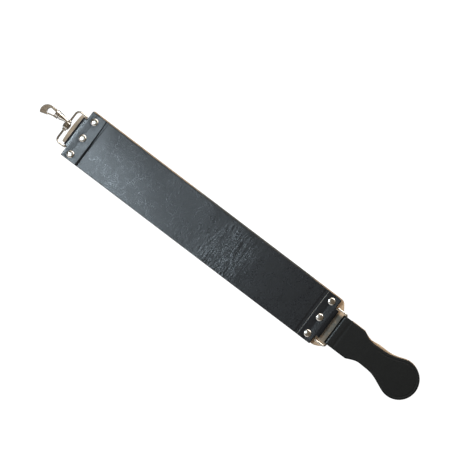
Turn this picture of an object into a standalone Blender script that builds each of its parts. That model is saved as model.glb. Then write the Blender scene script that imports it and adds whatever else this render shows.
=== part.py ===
"""Hanging barber's razor strop: swivel snap hook, two wire rings, two-ply leather strap and paddle handle.

The strap lies along X with the hook at -X and the handle at +X, its honing face up (+Z).
Lengths along X are counted from the upper shoulder of the strap, and the root empty then
moves everything so that the origin is under the middle of the whole object, on the floor.
"""

import math

import bmesh
import bpy
from mathutils import Matrix, Vector

# Fits
GAP = 0.0003  # between pieces that touch
SHOULDER_GAP = 0.0004  # between a ring's bar and the shoulders of its tab

# Leather
STRAP_LENGTH = 0.3664  # shoulder to shoulder
STRAP_WIDTH = 0.0635
FRONT_PLY = 0.0030
REAR_PLY = 0.0024
REAR_SHIFT = 0.0012  # the rear ply sits this much towards +Y
REAR_TOP_TONGUE = 0.0105
REAR_TOP_BOW = 0.0012
REAR_BOTTOM_TONGUE = 0.0177
REAR_BOTTOM_TIP = 0.0406  # width left at the lower tip
REAR_TIP_SHIFT = -0.0021  # the lower tip sits this much further towards -Y
REAR_TAPER = 0.0081  # the +Y shoulder turns in this far beyond the front ply
TAB_LEATHER = 0.0020
TONGUE_WIDTH = 0.0393
TOP_FLAP = 0.0218
TOP_FLAP_SKEW = 0.0033
BOTTOM_FLAP = 0.0187
BACK_FLAP = 0.0180
SKIVE_MARGIN = 0.0008  # the thinned strap end runs on this far past the flap

# Rings
WIRE_RADIUS = 0.0013
RING_OPEN_CORNER = 0.0050  # bend of the two corners that no leather covers
TOP_RING_DEPTH = 0.0135  # bar centre to bar centre
TOP_RING_PLAY = 0.00095  # between a ring's arm and the leather between its arms
BOTTOM_RING_DEPTH = 0.0146
BOTTOM_RING_PLAY = 0.00155
BOTTOM_RING_Y = -0.0014

# Rivets
RIVET_CAP_RADIUS = 0.0045
RIVET_DOME = 0.0013
RIVET_RIM = 0.0003
RIVET_POST_RADIUS = 0.0015
RIVET_PIN_RADIUS = 0.0005
RIVET_BACK_CAP = 0.0009
RIVET_INSET = 0.0090  # from the shoulder
RIVET_EDGE = 0.00835  # from the strap's long edge to the outer rivets
RIVET_STEPS = 20
TOP_RIVET_Y = -0.0011
BOTTOM_RIVET_Y = 0.0

# Swivel
SHANK_Y = 0.0038
EYE_WIDTH = 0.0098
EYE_Y = -0.0003
EYE_WALL = 0.0019
EYE_END_WALL = 0.0009
BELL_LENGTH = 0.0129  # ring bar centre to the bell's mouth
BELL_NECK_RADIUS = 0.0022
BELL_MOUTH_RADIUS = 0.0043
STEM_RADIUS = 0.0012
STEM_HEAD_RADIUS = 0.0019
STEM_HEAD = 0.0010
STEM_SOCKET = 0.0060
WASHER = 0.0008
WASHER_RADIUS = 0.0033

# Hook, in (u, v): u runs from the swivel towards the bow's far end, v runs along +Y from the shank's axis
COLLAR_RADIUS = 0.0047
COLLAR_LENGTH = 0.0048
BOW_THICKNESS = 0.0050
BOW_CENTRE = (COLLAR_LENGTH + 0.0082, -0.0052)
BOW_RADIUS = 0.0092
BEAK_ANGLE = -36.0
HOLE_CENTRE = (COLLAR_LENGTH + 0.0054, -0.0026)
HOLE_RADIUS = 0.0049
HOLE_BEAK_ANGLE = -81.0
HOLE_SPINE_ANGLE = 53.0
SPINE_ROOT = 0.0006
LUG_SIDE = -0.0052
LUG_HALF_HEIGHT = 0.0034
BOW_EDGE = 0.0011

# Gate
GATE_PIVOT = (COLLAR_LENGTH - 0.0022, -0.0039)
GATE_ROOT_RADIUS = 0.0015
GATE_TIP = (COLLAR_LENGTH + 0.0068, -0.0060)
GATE_HALF_THICKNESS = 0.0008
GATE_HALF_HEIGHT = 0.0016
GATE_ROOT_TOP = 0.0001
GATE_ROOT_OPENING = 60.0  # degrees from the arm to each end of the root's round
PIN_RADIUS = 0.00055
SPRING_WIRE_RADIUS = 0.00015
SPRING_TURNS = 2.5
SPRING_LEG = 0.0005

# Handle, along X from the bottom ring's far bar
HANDLE_LENGTH = 0.1172
PADDLE_RADIUS = 0.0244
PADDLE_Y = -0.0015
NECK_MORE = 0.0008  # the neck is this much wider than the strap's tongues
NECK_Y = -0.0004
NECK_LENGTH = 0.0275
WAIST_X = 0.0530
WAIST_WIDTH = 0.0294
WAIST_Y = -0.0004
HANDLE_LEATHER = 0.0020
HANDLE_RETURN = 0.0080
HANDLE_BACK_SHIFT = 0.0006
HANDLE_BACK_WAIST = 0.0022  # how far the rear leaf fills the waist on the +Y side
CORE_INSET = 0.0035
PADDLE_JOIN = 112.0  # degrees from +X to where the neck's curve meets the paddle's round

# Heights, worked out from the layers that lie on each other
FOLD_INSIDE = WIRE_RADIUS + GAP
TAB_FOLD = FOLD_INSIDE + TAB_LEATHER
BAR_Z = REAR_PLY + GAP + TAB_FOLD
STRAP_FLOOR = BAR_Z - WIRE_RADIUS
SKIVED_PLY = 2 * WIRE_RADIUS
STRAP_FACE = STRAP_FLOOR + FRONT_PLY
TAB_FACE = BAR_Z + TAB_FOLD
HANDLE_FOLD = FOLD_INSIDE + HANDLE_LEATHER

# Widths and pitches that follow from their neighbours
NECK_WIDTH = TONGUE_WIDTH + NECK_MORE
COVERED_CORNER = 2 * WIRE_RADIUS
TOP_RING_WIDTH = TONGUE_WIDTH + 2 * (WIRE_RADIUS + TOP_RING_PLAY)
BOTTOM_RING_WIDTH = NECK_WIDTH + 2 * (WIRE_RADIUS + BOTTOM_RING_PLAY)
RIVET_PITCH = STRAP_WIDTH / 2 - RIVET_EDGE
SPRING_RADIUS = PIN_RADIUS + GAP + SPRING_WIRE_RADIUS

# Places along X
TOP_BAR = -(WIRE_RADIUS + SHOULDER_GAP)
TOP_FAR_BAR = TOP_BAR - TOP_RING_DEPTH
BOTTOM_BAR = STRAP_LENGTH + WIRE_RADIUS + SHOULDER_GAP
BOTTOM_FAR_BAR = BOTTOM_BAR + BOTTOM_RING_DEPTH
BELL_MOUTH = TOP_FAR_BAR - BELL_LENGTH
HOOK_START = BELL_MOUTH - WASHER - 2 * GAP
HOOK_END = HOOK_START - BOW_CENTRE[0] - BOW_RADIUS
HANDLE_END = BOTTOM_FAR_BAR + HANDLE_LENGTH
MIDDLE = Vector(((HOOK_END + HANDLE_END) / 2, REAR_SHIFT / 2, 0))

ARC_STEPS = 8
ROUND_STEPS = 24
MERGE = 0.00001

BLACK_LEATHER = ("black_leather", (0.018, 0.019, 0.022), 0.45, 0.0)
TAN_LEATHER = ("tan_leather", (0.42, 0.27, 0.15), 0.7, 0.0)
HANDLE_BLACK = ("handle_leather", (0.012, 0.012, 0.012), 0.6, 0.0)
NICKEL = ("nickel", (0.75, 0.73, 0.69), 0.18, 1.0)
SPRING_STEEL = ("spring_steel", (0.45, 0.45, 0.47), 0.3, 1.0)


def clear_scene():
    for obj in list(bpy.data.objects):
        bpy.data.objects.remove(obj, do_unlink=True)


def new_collection(name, hidden=False):
    collection = bpy.data.collections.new(name)
    bpy.context.scene.collection.children.link(collection)
    collection.hide_render = hidden
    return collection


def finish(obj, finish_values):
    name, colour, roughness, metallic = finish_values
    material = bpy.data.materials.get(name) or bpy.data.materials.new(name)
    material.use_nodes = True
    shader = material.node_tree.nodes["Principled BSDF"]
    shader.inputs["Base Color"].default_value = (*colour, 1.0)
    shader.inputs["Roughness"].default_value = roughness
    shader.inputs["Metallic"].default_value = metallic
    obj.data.materials.clear()
    obj.data.materials.append(material)


def place(obj, finish_values, pivot=(0, 0, 0)):
    """Gives a piece its material, its origin on its pivot and the root as its parent."""
    obj.data.transform(Matrix.Translation(-Vector(pivot)) @ obj.matrix_basis)
    obj.matrix_basis = Matrix.Translation(pivot)
    obj.parent = ROOT
    finish(obj, finish_values)
    obj.data.shade_smooth()
    obj.data.set_sharp_from_angle(angle=math.radians(35))
    return obj


def mesh_object(name, bm, collection):
    mesh = bpy.data.meshes.new(name)
    bm.to_mesh(mesh)
    bm.free()
    obj = bpy.data.objects.new(name, mesh)
    collection.objects.link(obj)
    return obj


def as_mesh(curve_object, collection):
    """Turns a curve object into a welded mesh object of the same name and place."""
    name = curve_object.name
    bpy.context.view_layer.update()
    evaluated = curve_object.evaluated_get(bpy.context.evaluated_depsgraph_get())
    mesh = bpy.data.meshes.new_from_object(evaluated)
    matrix = curve_object.matrix_world.copy()
    bpy.data.objects.remove(curve_object, do_unlink=True)
    bm = bmesh.new()
    bm.from_mesh(mesh)
    bmesh.ops.remove_doubles(bm, verts=bm.verts, dist=MERGE)
    bmesh.ops.recalc_face_normals(bm, faces=bm.faces)
    bm.to_mesh(mesh)
    bm.free()
    obj = bpy.data.objects.new(name, mesh)
    obj.matrix_world = matrix
    collection.objects.link(obj)
    return obj


def poly_curve(name, points, dimensions, cyclic, collection):
    curve = bpy.data.curves.new(name, "CURVE")
    curve.dimensions = dimensions
    spline = curve.splines.new("POLY")
    spline.points.add(len(points) - 1)
    for target, point in zip(spline.points, points):
        target.co = (*point, 1.0) if len(point) == 3 else (*point, 0.0, 1.0)
    spline.use_cyclic_u = cyclic
    obj = bpy.data.objects.new(name, curve)
    collection.objects.link(obj)
    return obj


def prism(name, outline, low, high, collection):
    """A flat outline in X and Y, as thick as low to high."""
    obj = poly_curve(name, outline, "2D", True, collection)
    obj.data.fill_mode = "BOTH"
    obj.data.extrude = (high - low) / 2
    obj.location.z = (high + low) / 2
    return as_mesh(obj, collection)


def wire(name, points, radius, cyclic, collection, sides=2):
    obj = poly_curve(name, points, "3D", cyclic, collection)
    obj.data.bevel_depth = radius
    obj.data.bevel_resolution = sides
    obj.data.use_fill_caps = not cyclic
    return as_mesh(obj, collection)


def turned(name, profile, collection, closed=False, steps=ROUND_STEPS):
    """Turns a profile of (radius, height) round Z. It runs down the outer side."""
    bm = bmesh.new()
    points = [bm.verts.new((radius, 0, height)) for radius, height in profile]
    pairs = list(zip(points, points[1:]))
    if closed:
        pairs.append((points[-1], points[0]))
    for pair in pairs:
        bm.edges.new(pair)
    obj = mesh_object(name, bm, collection)
    screw = obj.modifiers.new("turn", "SCREW")
    screw.axis = "Z"
    screw.steps = steps
    screw.render_steps = steps
    screw.use_merge_vertices = True
    screw.merge_threshold = MERGE
    return obj


def apply_modifiers(obj):
    bpy.context.view_layer.update()
    evaluated = obj.evaluated_get(bpy.context.evaluated_depsgraph_get())
    obj.data = bpy.data.meshes.new_from_object(evaluated)
    obj.modifiers.clear()
    return obj


def turn_axis(obj, axis_matrix, centre):
    """Applies the modifiers, then lays a piece turned round Z onto another axis."""
    apply_modifiers(obj)
    obj.data.transform(Matrix.Translation(centre) @ axis_matrix)
    return obj


ALONG_X = Matrix.Rotation(math.radians(-90), 4, "Y")  # a turned piece's top then points to -X
ALONG_Y = Matrix.Rotation(math.radians(-90), 4, "X")  # a turned piece's top then points to +Y


def combine(obj, other, operation, solver="EXACT"):
    boolean = obj.modifiers.new(operation.lower() + "_" + other.name, "BOOLEAN")
    boolean.operation = operation
    boolean.object = other
    boolean.solver = solver


def cylinder(name, centre, radius, low, high, collection, steps=ROUND_STEPS):
    profile = [(0, high), (radius, high), (radius, low), (0, low)]
    obj = apply_modifiers(turned(name, profile, collection, steps=steps))
    obj.data.transform(Matrix.Translation((centre[0], centre[1], 0)))
    return obj


def box(name, low, high, collection):
    bm = bmesh.new()
    bmesh.ops.create_cube(bm, size=1.0)
    size = Vector(high) - Vector(low)
    middle = (Vector(high) + Vector(low)) / 2
    bmesh.ops.transform(bm, matrix=Matrix.Translation(middle) @ Matrix.Diagonal((*size, 1)), verts=bm.verts)
    return mesh_object(name, bm, collection)


def arc(centre, radius, start, end, steps=ARC_STEPS):
    angles = [math.radians(start + (end - start) * i / steps) for i in range(steps + 1)]
    return [(centre[0] + radius * math.cos(a), centre[1] + radius * math.sin(a)) for a in angles]


def bezier(start, first, second, end, steps=ARC_STEPS):
    points = []
    for i in range(steps + 1):
        t = i / steps
        weights = ((1 - t) ** 3, 3 * t * (1 - t) ** 2, 3 * t * t * (1 - t), t**3)
        corners = (start, first, second, end)
        points.append(tuple(sum(w * c[k] for w, c in zip(weights, corners)) for k in (0, 1)))
    return points


def rivet_places(bar_side):
    """Plan positions of the three rivets at the hook end (-1) or at the handle end (+1)."""
    if bar_side < 0:
        return [(RIVET_INSET, TOP_RIVET_Y + k * RIVET_PITCH) for k in (-1, 0, 1)]
    return [(STRAP_LENGTH - RIVET_INSET, BOTTOM_RIVET_Y + k * RIVET_PITCH) for k in (-1, 0, 1)]


def drill_rivets(obj, sides=(-1, 1)):
    for side in sides:
        for number, centre in enumerate(rivet_places(side)):
            name = f"bore_{obj.name}_{'top' if side < 0 else 'bottom'}_{number}"
            bore = cylinder(name, centre, RIVET_POST_RADIUS + GAP, -GAP, TAB_FACE + GAP, CUTTERS, steps=16)
            combine(obj, bore, "DIFFERENCE")


def folded_sheet(name, bar_x, outward, front_end, back_end, thickness, half_width):
    """A sheet of leather folded round a ring's bar, with one leaf over the bar and one under it.

    outward is -1 where the fold is at the sheet's -X end and +1 where it is at the +X end.
    """
    radius = FOLD_INSIDE + thickness / 2
    fold = arc((0, 0), radius, -90, 90, 2 * ARC_STEPS)
    path = [(back_end, BAR_Z - radius)]
    path += [(bar_x + outward * across, BAR_Z + up) for across, up in fold]
    path.append((front_end, BAR_Z + radius))
    bm = bmesh.new()
    points = [bm.verts.new((x, -half_width, z)) for x, z in path]
    edges = [bm.edges.new(pair) for pair in zip(points, points[1:])]
    swept = bmesh.ops.extrude_edge_only(bm, edges=edges)["geom"]
    moved = [item for item in swept if isinstance(item, bmesh.types.BMVert)]
    bmesh.ops.translate(bm, vec=(0, 2 * half_width, 0), verts=moved)
    obj = mesh_object(name, bm, PARTS)
    solidify = obj.modifiers.new("leather", "SOLIDIFY")
    solidify.thickness = thickness
    solidify.offset = 0
    solidify.use_even_offset = True
    return obj


def tab_outline(outward, flap, skew):
    """Plan outline of a tab: a tongue round the bar, shoulders, and a flap across the strap."""
    wide = STRAP_WIDTH / 2
    narrow = TONGUE_WIDTH / 2
    tip = 2 * outward * TAB_FOLD
    shape = [
        (tip, -narrow),
        (tip, narrow),
        (0, narrow),
        (0, wide),
        (-outward * (flap - skew / 2), wide),
        (-outward * (flap + skew / 2), -wide),
        (0, -wide),
        (0, -narrow),
    ]
    return shape if outward < 0 else [(STRAP_LENGTH + x, y) for x, y in shape]


def make_tab(name, outward, flap, skew):
    bar_x = TOP_BAR if outward < 0 else BOTTOM_BAR
    shoulder = 0 if outward < 0 else STRAP_LENGTH
    front_end = shoulder - outward * (flap + abs(skew))
    back_end = shoulder - outward * BACK_FLAP
    tab = folded_sheet(name, bar_x, outward, front_end, back_end, TAB_LEATHER, STRAP_WIDTH)
    pattern = prism(f"pattern_{name}", tab_outline(outward, flap, skew), 0, 2 * TAB_FACE, CUTTERS)
    combine(tab, pattern, "INTERSECT")
    drill_rivets(tab, (outward,))
    place(tab, BLACK_LEATHER)


def make_front_strap():
    """The black ply. Its ends are thinned where the tabs' flaps lie over it."""
    low = TOP_BAR + WIRE_RADIUS + GAP
    high = BOTTOM_BAR - WIRE_RADIUS - GAP
    half = STRAP_WIDTH / 2
    strap = box("front_strap", (low, -half, STRAP_FLOOR), (high, half, STRAP_FACE), PARTS)
    top_skive = TOP_FLAP + SKIVE_MARGIN
    skew = TOP_FLAP_SKEW / 2
    margin = STRAP_WIDTH / 100
    shave_top = [
        (low - margin, -half - margin),
        (top_skive + skew, -half - margin),
        (top_skive - skew, half + margin),
        (low - margin, half + margin),
    ]
    start = STRAP_LENGTH - BOTTOM_FLAP - SKIVE_MARGIN
    shave_bottom = [
        (start, -half - margin),
        (high + margin, -half - margin),
        (high + margin, half + margin),
        (start, half + margin),
    ]
    for name, outline in (("shave_top", shave_top), ("shave_bottom", shave_bottom)):
        shave = prism(name, outline, STRAP_FLOOR + SKIVED_PLY, TAB_FACE, CUTTERS)
        combine(strap, shave, "DIFFERENCE")
    drill_rivets(strap)
    place(strap, BLACK_LEATHER)


def make_rear_strap():
    """The tan ply at the back, with a bowed tongue at the hook end and a tapered one at the handle end."""
    half = STRAP_WIDTH / 2
    tongue = TONGUE_WIDTH / 2 - GAP
    ends = REAR_TOP_TONGUE - REAR_TOP_BOW
    bowed = -REAR_TOP_TONGUE - REAR_TOP_BOW / 3
    outline = bezier((-ends, tongue), (bowed, tongue / 2), (bowed, -tongue / 2), (-ends, -tongue))
    outline += [(0, -tongue), (0, -half)]
    foot = STRAP_LENGTH + REAR_BOTTOM_TONGUE
    tip_right, tip_left = REAR_TIP_SHIFT - REAR_BOTTOM_TIP / 2, REAR_TIP_SHIFT + REAR_BOTTOM_TIP / 2
    corner = STRAP_LENGTH + REAR_PLY
    shoulder, cheek = corner + tongue / 3, half - tongue / 3
    outline += bezier((corner, -half), (shoulder, -half), (foot, -cheek), (foot, tip_right))
    turn = STRAP_LENGTH + REAR_TAPER
    outline += bezier((foot, tip_left), (turn, tip_left), (turn, half), (STRAP_LENGTH, half))
    outline += [(0, half), (0, tongue)]
    strap = prism("rear_strap", [(x, y + REAR_SHIFT) for x, y in outline], 0, REAR_PLY, PARTS)
    bore, seat = RIVET_POST_RADIUS + GAP, RIVET_CAP_RADIUS + GAP
    step = RIVET_BACK_CAP + GAP
    above, below = REAR_PLY + GAP, -GAP
    profile = [(0, above), (bore, above), (bore, step), (seat, step), (seat, below), (0, below)]
    for side in (-1, 1):
        for number, centre in enumerate(rivet_places(side)):
            counterbore = turned(f"counterbore_{side}_{number}", profile, CUTTERS, steps=RIVET_STEPS)
            counterbore.location = (*centre, 0)
            combine(strap, counterbore, "DIFFERENCE", "MANIFOLD")
    place(strap, TAN_LEATHER)


def make_rivet(label, centre):
    """A double-cap rivet: a domed front cap with a hollow post, and a back cap with a pin inside it."""
    seat = TAB_FACE + GAP
    hollow = RIVET_PIN_RADIUS + GAP
    dome = [
        (RIVET_CAP_RADIUS * math.sin(a), seat + RIVET_RIM + RIVET_DOME * math.cos(a))
        for a in (math.radians(90 * i / 5) for i in range(6))
    ]
    dome[0] = (0, dome[0][1])
    profile = dome + [
        (RIVET_CAP_RADIUS, seat),
        (RIVET_POST_RADIUS, seat),
        (RIVET_POST_RADIUS, RIVET_BACK_CAP + GAP),
        (hollow, RIVET_BACK_CAP + GAP),
        (hollow, seat - GAP),
        (0, seat - GAP),
    ]
    front = turned(f"rivet_front_{label}", profile, PARTS, steps=RIVET_STEPS)
    front.location = (*centre, 0)
    place_turned(front)
    pin_end = seat - RIVET_DOME - GAP
    back_profile = [
        (0, pin_end),
        (RIVET_PIN_RADIUS, pin_end),
        (RIVET_PIN_RADIUS, RIVET_BACK_CAP),
        (RIVET_CAP_RADIUS, RIVET_BACK_CAP),
        (RIVET_CAP_RADIUS, RIVET_RIM),
        (RIVET_CAP_RADIUS - RIVET_RIM, 0),
        (0, 0),
    ]
    back = turned(f"rivet_back_{label}", back_profile, PARTS, steps=RIVET_STEPS)
    back.location = (*centre, 0)
    place_turned(back)


def place_turned(obj):
    """A turned piece keeps its origin on its own axis."""
    obj.parent = ROOT
    finish(obj, NICKEL)
    obj.modifiers["turn"].use_smooth_shade = True


def make_ring(name, near_bar, far_bar, width, centre_y, far_corner):
    """A rectangular loop of round wire, with tight corners at a bar that leather covers."""
    outward = 1 if far_bar > near_bar else -1
    half = width / 2
    depth = abs(far_bar - near_bar)
    near, far = COVERED_CORNER, far_corner
    corners = arc((near, half - near), near, 180, 90, 4)
    corners += arc((depth - far, half - far), far, 90, 0, 6)
    corners += arc((depth - far, far - half), far, 0, -90, 6)
    corners += arc((near, near - half), near, -90, -180, 4)
    path = [(near_bar + outward * x, y + centre_y, BAR_Z) for x, y in corners]
    ring = wire(name, path, WIRE_RADIUS, True, PARTS, sides=3)
    place(ring, NICKEL, (near_bar, centre_y, BAR_Z))


def make_swivel():
    """The eye on the ring's bar with its bell, the stem between eye and hook, and the washer."""
    bore = WIRE_RADIUS + GAP
    half = EYE_WIDTH / 2
    end, swell = bore + EYE_END_WALL, EYE_WALL - EYE_END_WALL
    profile = [(end + swell * x, half * y) for x, y in arc((0, 0), 1, 90, -90)]
    profile += [(bore, -half), (bore, half)]
    eye = turned("swivel_eye", profile, PARTS, closed=True)
    turn_axis(eye, ALONG_Y, (TOP_FAR_BAR, EYE_Y, BAR_Z))
    neck = BELL_LENGTH - bore - GAP
    waist = BELL_NECK_RADIUS + (BELL_MOUTH_RADIUS - BELL_NECK_RADIUS) / 4
    lip = BELL_MOUTH_RADIUS - GAP
    bell_profile = [
        (0, 0),
        (lip, 0),
        (BELL_MOUTH_RADIUS, -GAP),
        (BELL_MOUTH_RADIUS, -BELL_LENGTH / 10),
        (waist, -BELL_LENGTH * 6 / 10),
        (BELL_NECK_RADIUS, -neck),
        (0, -neck),
    ]
    bell = turned("bell_of_eye", bell_profile, CUTTERS)
    turn_axis(bell, ALONG_X, (BELL_MOUTH, SHANK_Y, BAR_Z))
    combine(eye, bell, "UNION")
    hole = turned("stem_socket", rod(STEM_RADIUS + GAP, GAP, -STEM_SOCKET - GAP), CUTTERS)
    turn_axis(hole, ALONG_X, (BELL_MOUTH, SHANK_Y, BAR_Z))
    combine(eye, hole, "DIFFERENCE")
    place(eye, NICKEL, (TOP_FAR_BAR, SHANK_Y, BAR_Z))

    reach = BELL_MOUTH - (HOOK_START - COLLAR_LENGTH) - STEM_HEAD
    stem_profile = [
        (0, reach + STEM_HEAD),
        (STEM_HEAD_RADIUS - GAP, reach + STEM_HEAD),
        (STEM_HEAD_RADIUS, reach + STEM_HEAD - GAP),
        (STEM_HEAD_RADIUS, reach),
        (STEM_RADIUS, reach),
        (STEM_RADIUS, -STEM_SOCKET),
        (0, -STEM_SOCKET),
    ]
    stem = turned("swivel_stem", stem_profile, PARTS)
    turn_axis(stem, ALONG_X, (BELL_MOUTH, SHANK_Y, BAR_Z))
    place(stem, NICKEL, (HOOK_START, SHANK_Y, BAR_Z))

    inner = STEM_RADIUS + GAP
    washer_profile = [(WASHER_RADIUS, WASHER), (WASHER_RADIUS, 0), (inner, 0), (inner, WASHER)]
    washer = turned("swivel_washer", washer_profile, PARTS, closed=True)
    turn_axis(washer, ALONG_X, (BELL_MOUTH - GAP, SHANK_Y, BAR_Z))
    place(washer, NICKEL, (HOOK_START, SHANK_Y, BAR_Z))


def rod(radius, high, low):
    return [(0, high), (radius, high), (radius, low), (0, low)]


def hook_point(u, v):
    return (HOOK_START - u, SHANK_Y + v)


def bow_outline():
    """The bow in plan: a straight spine, a round back that thickens to the beak, and the mouth between."""
    back = arc(BOW_CENTRE, BOW_RADIUS, 90, BEAK_ANGLE, 2 * ARC_STEPS)
    hole = arc(HOLE_CENTRE, HOLE_RADIUS, HOLE_BEAK_ANGLE, HOLE_SPINE_ANGLE, 2 * ARC_STEPS)
    spine_side = BOW_CENTRE[1] + BOW_RADIUS
    root = COLLAR_LENGTH / 2
    outline = [(root, spine_side)] + back + hole + [(COLLAR_LENGTH, SPINE_ROOT), (root, SPINE_ROOT)]
    return [hook_point(u, v) for u, v in outline]


def make_hook_body():
    """The cast hook: a round collar on the swivel, two cheeks for the gate, and the bow."""
    half = BOW_THICKNESS / 2
    body = prism("hook_body", bow_outline(), BAR_Z - half, BAR_Z + half, PARTS)
    bevel = body.modifiers.new("edge", "BEVEL")
    bevel.width = BOW_EDGE
    bevel.segments = 2
    bevel.limit_method = "ANGLE"
    bevel.angle_limit = math.radians(60)
    edge = COLLAR_RADIUS / 8
    collar_profile = [
        (0, COLLAR_LENGTH),
        (COLLAR_RADIUS - edge, COLLAR_LENGTH),
        (COLLAR_RADIUS, COLLAR_LENGTH - edge),
        (COLLAR_RADIUS, edge),
        (COLLAR_RADIUS - edge, 0),
        (0, 0),
    ]
    collar = turned("collar_of_hook", collar_profile, CUTTERS)
    turn_axis(collar, ALONG_X, (HOOK_START, SHANK_Y, BAR_Z))
    combine(body, collar, "UNION", "MANIFOLD")
    far, near = hook_point(COLLAR_LENGTH - GAP, LUG_SIDE), hook_point(GAP, 0)
    lug = box(
        "lug_of_hook",
        (far[0], far[1], BAR_Z - LUG_HALF_HEIGHT),
        (near[0], near[1], BAR_Z + LUG_HALF_HEIGHT),
        CUTTERS,
    )
    combine(body, lug, "UNION", "MANIFOLD")
    counterbore = COLLAR_LENGTH - STEM_HEAD - GAP
    bore_profile = [
        (0, 2 * COLLAR_LENGTH),
        (STEM_HEAD_RADIUS + GAP, 2 * COLLAR_LENGTH),
        (STEM_HEAD_RADIUS + GAP, counterbore),
        (STEM_RADIUS + GAP, counterbore),
        (STEM_RADIUS + GAP, -GAP),
        (0, -GAP),
    ]
    bore = turned("bore_of_hook", bore_profile, CUTTERS)
    turn_axis(bore, ALONG_X, (HOOK_START, SHANK_Y, BAR_Z))
    combine(body, bore, "DIFFERENCE", "MANIFOLD")
    pivot_reach = GATE_ROOT_RADIUS + GAP
    slot_far = hook_point(2 * COLLAR_LENGTH, GATE_PIVOT[1] - 2 * GATE_ROOT_RADIUS)
    slot_near = hook_point(GATE_PIVOT[0] - pivot_reach, GATE_PIVOT[1] + pivot_reach)
    slot_half = GATE_HALF_HEIGHT + GAP
    slot = box(
        "gate_slot",
        (slot_far[0], slot_far[1], BAR_Z - slot_half),
        (slot_near[0], slot_near[1], BAR_Z + slot_half),
        CUTTERS,
    )
    combine(body, slot, "DIFFERENCE", "MANIFOLD")
    pivot = hook_point(*GATE_PIVOT)
    pin_hole = cylinder("pin_hole", pivot, PIN_RADIUS + GAP, 0, 2 * BAR_Z, CUTTERS, steps=16)
    combine(body, pin_hole, "DIFFERENCE", "MANIFOLD")
    place(body, NICKEL, (HOOK_START, SHANK_Y, BAR_Z))


def make_gate():
    """The sprung gate: a root eye between the cheeks and an arm that closes on the beak."""
    pivot = Vector(hook_point(*GATE_PIVOT))
    tip = Vector(hook_point(*GATE_TIP))
    along = (tip - pivot).normalized()
    side = Vector((-along.y, along.x)) * GATE_HALF_THICKNESS
    heading = math.degrees(math.atan2(along.y, along.x))
    tip_round = arc(tip, GATE_HALF_THICKNESS, heading + 90, heading - 90, 4)
    start = pivot + along * (COLLAR_LENGTH - GATE_PIVOT[0] + GAP)
    arm_outline = [start - side, start + side] + tip_round
    low = BAR_Z - GATE_HALF_HEIGHT
    opening = GATE_ROOT_OPENING
    root_round = arc(pivot, GATE_ROOT_RADIUS, heading + opening, heading + 360 - opening, 2 * ARC_STEPS)
    overlap = start + along * GATE_HALF_THICKNESS
    inside = side * 9 / 10
    root_outline = root_round + [overlap - inside, overlap + inside]
    gate = prism("gate", root_outline, low, BAR_Z + GATE_ROOT_TOP, PARTS)
    arm = prism("arm_of_gate", arm_outline, low, BAR_Z + GATE_HALF_HEIGHT, CUTTERS)
    combine(gate, arm, "UNION")
    hole = cylinder("hole_of_gate", pivot, PIN_RADIUS + GAP, 0, 2 * BAR_Z, CUTTERS, steps=16)
    combine(gate, hole, "DIFFERENCE")
    place(gate, NICKEL, (pivot.x, pivot.y, BAR_Z))

    half = LUG_HALF_HEIGHT
    pin = turned("gate_pin", rod(PIN_RADIUS, half, -half), PARTS, steps=16)
    pin.location = (pivot.x, pivot.y, BAR_Z)
    place_turned(pin)


def make_gate_spring():
    """A small torsion coil on the gate's pin, with a leg to the collar and one to the arm."""
    pivot = hook_point(*GATE_PIVOT)
    low = BAR_Z + GATE_ROOT_TOP + GAP + SPRING_WIRE_RADIUS
    high = BAR_Z + GATE_HALF_HEIGHT - SPRING_WIRE_RADIUS
    steps = int(SPRING_TURNS * 12)
    coil = []
    for i in range(steps + 1):
        turn = 2 * math.pi * SPRING_TURNS * i / steps
        across = Vector((math.cos(turn), math.sin(turn), 0)) * SPRING_RADIUS
        coil.append((pivot[0] + across.x, pivot[1] + across.y, low + (high - low) * i / steps))
    reach = SPRING_RADIUS + SPRING_LEG
    coil.insert(0, (pivot[0] + reach, pivot[1], low))
    coil.append((pivot[0] - reach, pivot[1], high))
    spring = wire("gate_spring", coil, SPRING_WIRE_RADIUS, False, PARTS, sides=1)
    place(spring, SPRING_STEEL, (*pivot, BAR_Z))


def handle_outline(start, inset=0.0, shift=0.0, waist_fill=0.0):
    """Plan outline of a handle leaf, from start to the paddle's end."""
    bar = BOTTOM_FAR_BAR
    centre = (bar + HANDLE_LENGTH - PADDLE_RADIUS, PADDLE_Y + shift)
    radius = PADDLE_RADIUS - inset
    join = math.radians(PADDLE_JOIN)
    slope = join - math.radians(90)
    halves = []
    for side, fill in ((1, waist_fill), (-1, 0.0)):
        neck = NECK_Y + shift + side * (NECK_WIDTH / 2 - inset)
        waist = (bar + WAIST_X, WAIST_Y + shift + side * (WAIST_WIDTH / 2 - inset + fill))
        corner = (bar + NECK_LENGTH, neck)
        flare = (centre[0] + radius * math.cos(join), centre[1] + side * radius * math.sin(join))
        reach = (flare[0] - waist[0]) / 2
        leave_neck = (corner[0] + reach, neck - side * reach / 2)
        enter_waist = (waist[0] - reach * 7 / 10, waist[1])
        leave_waist = (waist[0] + reach * 8 / 10, waist[1])
        enter_flare = (flare[0] - reach * math.cos(slope), flare[1] - side * reach * math.sin(slope))
        half = [(start, neck)]
        half += bezier(corner, leave_neck, enter_waist, waist)
        half += bezier(waist, leave_waist, enter_flare, flare)[1:]
        halves.append(half)
    paddle = arc(centre, radius, PADDLE_JOIN, -PADDLE_JOIN, 4 * ARC_STEPS)
    return halves[0] + paddle[1:-1] + halves[1][::-1]


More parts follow.
